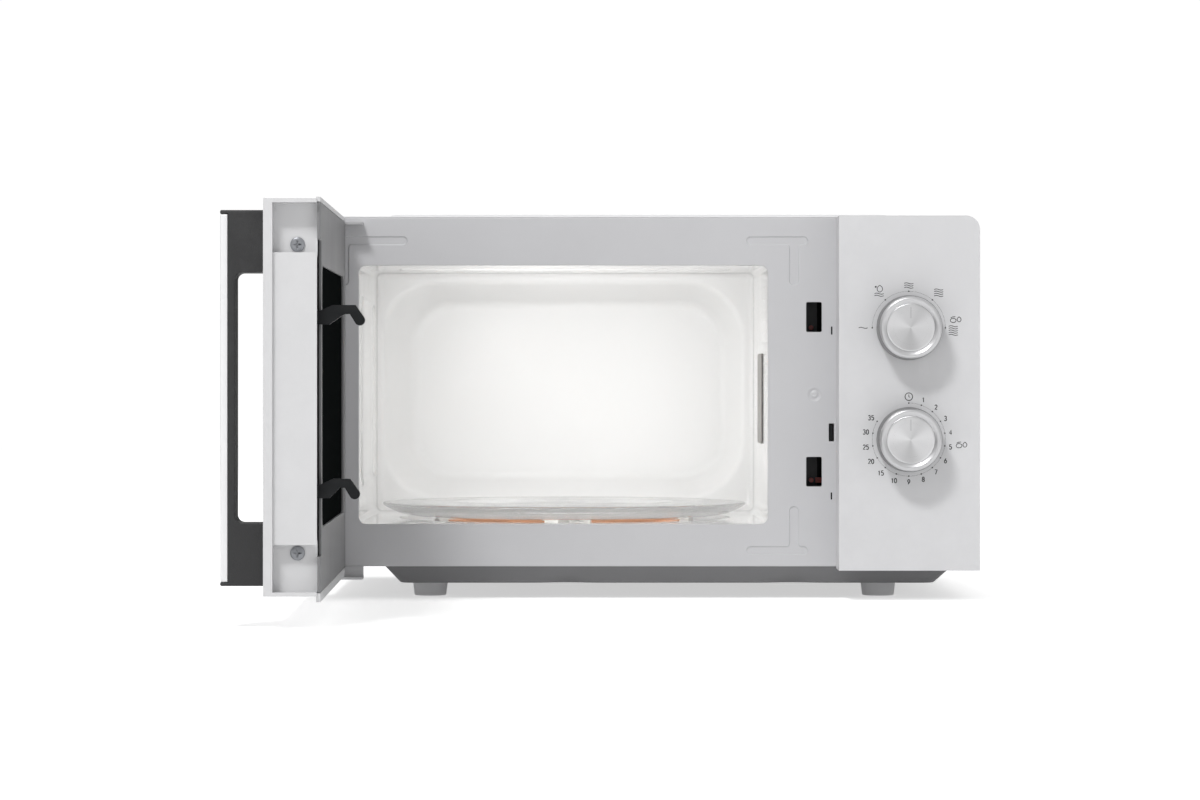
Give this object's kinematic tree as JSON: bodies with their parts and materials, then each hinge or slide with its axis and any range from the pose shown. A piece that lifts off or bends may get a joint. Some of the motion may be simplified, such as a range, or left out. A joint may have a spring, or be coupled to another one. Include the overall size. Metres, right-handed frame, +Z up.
{
  "type": "microwave oven",
  "caption": "Countertop microwave oven with a side-hinged door standing open, rotary power and timer knobs, enamelled cavity, glass turntable and the working parts inside.",
  "frame": {"origin": "on the worktop plane, under the middle of the oven as it stands with its door open", "axes": "+X to the right seen from the front, +Y from the front to the back, +Z up"},
  "size_m": [0.4778, 0.6699, 0.2582],
  "materials": {
    "white_paint": "white powder-coated steel sheet, satin",
    "frame_paint": "light grey painted steel, satin, with a very fine orange-peel",
    "enamel": "glossy white baked enamel",
    "panel_plastic": "pale grey moulded plastic, satin",
    "door_plastic": "white moulded plastic, satin",
    "cover_plastic": "grey moulded plastic with a fine texture",
    "tinted_glass": "black printed glass, polished",
    "window_film": "black glossy film",
    "black_plastic": "black acetal, smooth moulded",
    "grip_plastic": "dark grey moulded plastic with a grained texture",
    "handle_white": "white moulded plastic, semi-gloss",
    "tray_glass": "clear pressed glass",
    "ring_plastic": "amber-brown heat-resistant plastic",
    "wheel_plastic": "dark heat-resistant plastic",
    "coupler_plastic": "off-white heat-resistant plastic",
    "knob_silver": "silver satin with a bright bevel",
    "brushed_disc": "brushed in circles",
    "zinc_steel": "zinc-plated steel",
    "dark_steel": "varnished laminated steel",
    "copper_wire": "varnished copper winding",
    "mica": "pressed mica sheet, dull",
    "lamp_glass": "clear lamp glass",
    "switch_plastic": "black moulded plastic",
    "red_plastic": "red acetal",
    "board": "green glass-fibre board",
    "gland_rubber": "black rubber-like plastic"
  },
  "bodies": {
    "cabinet": {"cabinet_wrapper": "white_paint", "rear_plate": "white_paint", "base_pan": "zinc_steel", "front_plate": "frame_paint", "cavity_liner": "enamel", "cavity_back": "enamel", "mica_cover": "mica", "waveguide": "zinc_steel", "upper_hinge_bracket": "zinc_steel", "lower_hinge_bracket": "zinc_steel", "hinge_pins": "zinc_steel", "feet": "door_plastic", "case_screws": "zinc_steel", "latch_board": "black_plastic", "primary_switch": "switch_plastic", "secondary_switch": "switch_plastic", "monitor_switch": "switch_plastic", "magnetron": "zinc_steel", "transformer_core": "dark_steel", "transformer_coils": "copper_wire", "hv_capacitor": "zinc_steel", "capacitor_clip": "zinc_steel", "hv_diode": "switch_plastic", "fan_shroud": "switch_plastic", "fan_motor": "dark_steel", "cavity_lamp": "lamp_glass", "lamp_holder": "coupler_plastic", "filter_board": "board", "thermal_cutout": "switch_plastic", "turntable_motor": "zinc_steel", "cord_gland": "gland_rubber", "control_panel": "panel_plastic", "power_selector": "switch_plastic", "timer_drive": "zinc_steel"},
    "door": {"door_frame": "door_plastic", "door_glass": "tinted_glass", "door_plate": "zinc_steel", "choke_cover": "cover_plastic", "inner_film": "window_film", "door_screws": "zinc_steel", "latch_spring": "zinc_steel", "handle_grip": "grip_plastic", "handle_cover": "handle_white"},
    "door_latch": {"door_latch": "black_plastic"},
    "turntable": {"coupler": "coupler_plastic", "glass_tray": "tray_glass"},
    "roller_ring": {"roller_ring": "ring_plastic"},
    "roller_1": {"roller_wheel_1": "wheel_plastic"},
    "roller_2": {"roller_wheel_2": "wheel_plastic"},
    "roller_3": {"roller_wheel_3": "wheel_plastic"},
    "power_control": {"power_shaft": "zinc_steel", "power_knob": "knob_silver", "power_knob_disc": "brushed_disc"},
    "timer_control": {"timer_shaft": "zinc_steel", "timer_knob": "knob_silver", "timer_knob_disc": "brushed_disc"},
    "fan": {"fan_blade": "coupler_plastic"},
    "primary_plunger": {"primary_plunger": "red_plastic"},
    "secondary_plunger": {"secondary_plunger": "red_plastic"},
    "monitor_slider": {"monitor_slider": "red_plastic"}
  },
  "joints": [
    {"name": "door_swing", "type": "hinge", "parent": "cabinet", "child": "door", "pos_m": [-0.193, 0.002, 0.13], "axis": [0, 0, 1], "range_deg": [-5.8, 89.2]},
    {"name": "latch_lift", "type": "slide", "parent": "door", "child": "door_latch", "axis": [0, 0, 1], "range_m": [0, 0.004], "stiffness_N_per_m": 400, "springref_m": -0.004, "deforming": ["latch_spring"]},
    {"name": "tray_spin", "type": "hinge", "parent": "cabinet", "child": "turntable", "pos_m": [-0.0382, 0.157, 0.045], "axis": [0, 0, 1], "continuous": true},
    {"name": "ring_roll", "type": "hinge", "parent": "cabinet", "child": "roller_ring", "pos_m": [-0.0382, 0.157, 0.045], "axis": [0, 0, 1], "continuous": true},
    {"name": "roller_1_spin", "type": "hinge", "parent": "roller_ring", "child": "roller_1", "pos_m": [-0.0382, 0.255, 0.046], "axis": [0, 1, 0], "continuous": true},
    {"name": "roller_2_spin", "type": "hinge", "parent": "roller_ring", "child": "roller_2", "pos_m": [-0.12307, 0.108, 0.046], "axis": [-0.866, -0.5, 0], "continuous": true},
    {"name": "roller_3_spin", "type": "hinge", "parent": "roller_ring", "child": "roller_3", "pos_m": [0.04667, 0.108, 0.046], "axis": [0.866, -0.5, 0], "continuous": true},
    {"name": "power_turn", "type": "hinge", "parent": "cabinet", "child": "power_control", "pos_m": [0.1908, -0.028, 0.1812], "axis": [0, 1, 0], "range_deg": [-90, 90]},
    {"name": "timer_turn", "type": "hinge", "parent": "cabinet", "child": "timer_control", "pos_m": [0.1908, -0.028, 0.1072], "axis": [0, 1, 0], "range_deg": [0, 300]},
    {"name": "fan_spin", "type": "hinge", "parent": "cabinet", "child": "fan", "pos_m": [0.173, 0.292, 0.19], "axis": [0, 1, 0], "continuous": true},
    {"name": "primary_press", "type": "slide", "parent": "cabinet", "child": "primary_plunger", "axis": [0, 1, 0], "range_m": [0, 0.0015], "stiffness_N_per_m": 300, "springref_m": -0.001},
    {"name": "secondary_press", "type": "slide", "parent": "cabinet", "child": "secondary_plunger", "axis": [0, 1, 0], "range_m": [0, 0.0015], "stiffness_N_per_m": 300, "springref_m": -0.001},
    {"name": "monitor_press", "type": "slide", "parent": "cabinet", "child": "monitor_slider", "axis": [0, 1, 0], "range_m": [0, 0.0015], "stiffness_N_per_m": 300, "springref_m": -0.001}
  ],
  "couplings": [
    {"joint": "ring_roll", "follows": "tray_spin", "ratio": 0.5},
    {"joint": "roller_1_spin", "follows": "tray_spin", "ratio": -8.9908},
    {"joint": "roller_2_spin", "follows": "tray_spin", "ratio": -8.9908},
    {"joint": "roller_3_spin", "follows": "tray_spin", "ratio": -8.9908}
  ]
}
